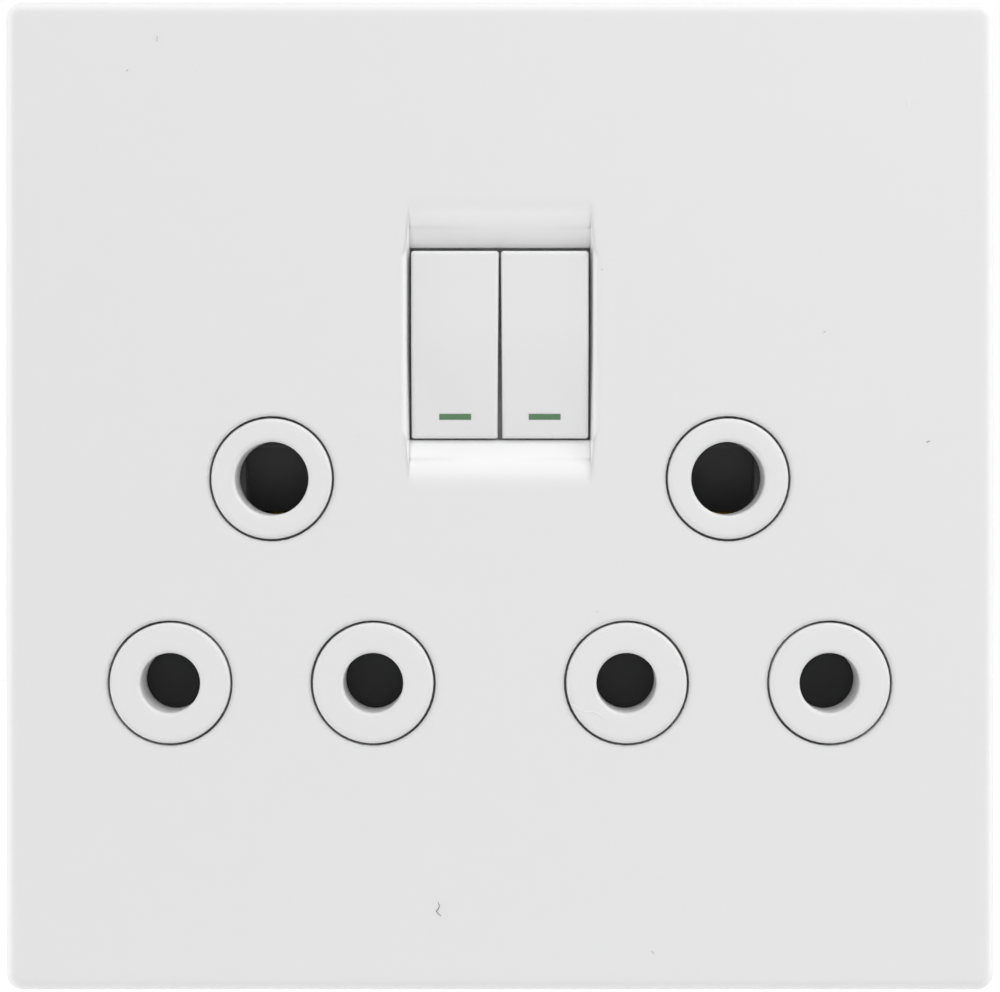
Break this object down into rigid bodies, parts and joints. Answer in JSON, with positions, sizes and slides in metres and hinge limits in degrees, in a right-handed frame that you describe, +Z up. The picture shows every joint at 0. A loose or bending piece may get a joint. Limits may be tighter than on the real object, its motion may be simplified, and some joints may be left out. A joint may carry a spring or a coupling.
{
  "type": "switched wall socket",
  "caption": "Square white switched wall socket with rocker switches beside each other in a recess, and shuttered round pin holes in raised collars.",
  "frame": {"origin": "middle of the two fixing holes, on the plane of the wall", "axes": "+X to the right as seen from the front, +Y into the wall, +Z up; the front faces -Y"},
  "size_m": [0.124, 0.0332, 0.124],
  "materials": {
    "white_plastic": "satin moulded thermoset",
    "black_plastic": "fine matt",
    "green_mark": "matt",
    "zinc_steel": "zinc plated",
    "spring_steel": "drawn wire",
    "brass": "stamped and milled"
  },
  "bodies": {
    "housing": {"cover_plate": "white_plastic", "mounting_frame": "zinc_steel", "front_housing": "white_plastic", "rear_housing": "black_plastic", "line_link_left": "brass", "line_link_right": "brass", "line_bar": "brass", "neutral_bar": "brass", "earth_bar": "brass", "shutter_deck_left": "black_plastic", "shutter_deck_right": "black_plastic", "shutter_spring_left": "spring_steel", "shutter_spring_right": "spring_steel", "line_terminal_screw": "zinc_steel", "neutral_terminal_screw": "zinc_steel", "earth_terminal_screw": "zinc_steel", "housing_screws": "zinc_steel", "frame_screws": "zinc_steel"},
    "rocker_left": {"rocker_left": "white_plastic", "mark_left": "green_mark", "plunger_left": "black_plastic", "plunger_spring_left": "spring_steel"},
    "moving_contact_left": {"moving_contact_left": "brass"},
    "shutter_left": {"shutter_left": "black_plastic"},
    "rocker_right": {"rocker_right": "white_plastic", "mark_right": "green_mark", "plunger_right": "black_plastic", "plunger_spring_right": "spring_steel"},
    "moving_contact_right": {"moving_contact_right": "brass"},
    "shutter_right": {"shutter_right": "black_plastic"}
  },
  "joints": [
    {"name": "rocker_left_pivot", "type": "hinge", "parent": "housing", "child": "rocker_left", "pos_m": [-0.00563, -0.0048, 0.01915], "axis": [1, 0, 0], "range_deg": [-8, 0]},
    {"name": "moving_contact_left_pivot", "type": "hinge", "parent": "housing", "child": "moving_contact_left", "pos_m": [-0.00563, 0.0077, 0.01915], "axis": [1, 0, 0], "range_deg": [0, 12.8]},
    {"name": "shutter_left_slide", "type": "slide", "parent": "housing", "child": "shutter_left", "axis": [0, 0, 1], "range_m": [0, 0.0091], "stiffness_N_per_m": 100, "springref_m": -0.01, "deforming": ["shutter_spring_left"]},
    {"name": "rocker_right_pivot", "type": "hinge", "parent": "housing", "child": "rocker_right", "pos_m": [0.00563, -0.0048, 0.01915], "axis": [1, 0, 0], "range_deg": [-8, 0]},
    {"name": "moving_contact_right_pivot", "type": "hinge", "parent": "housing", "child": "moving_contact_right", "pos_m": [0.00563, 0.0077, 0.01915], "axis": [1, 0, 0], "range_deg": [0, 12.8]},
    {"name": "shutter_right_slide", "type": "slide", "parent": "housing", "child": "shutter_right", "axis": [0, 0, 1], "range_m": [0, 0.0091], "stiffness_N_per_m": 100, "springref_m": -0.01, "deforming": ["shutter_spring_right"]}
  ],
  "couplings": [
    {"joint": "moving_contact_left_pivot", "follows": "rocker_left_pivot", "ratio": -1.6},
    {"joint": "moving_contact_right_pivot", "follows": "rocker_right_pivot", "ratio": -1.6}
  ]
}
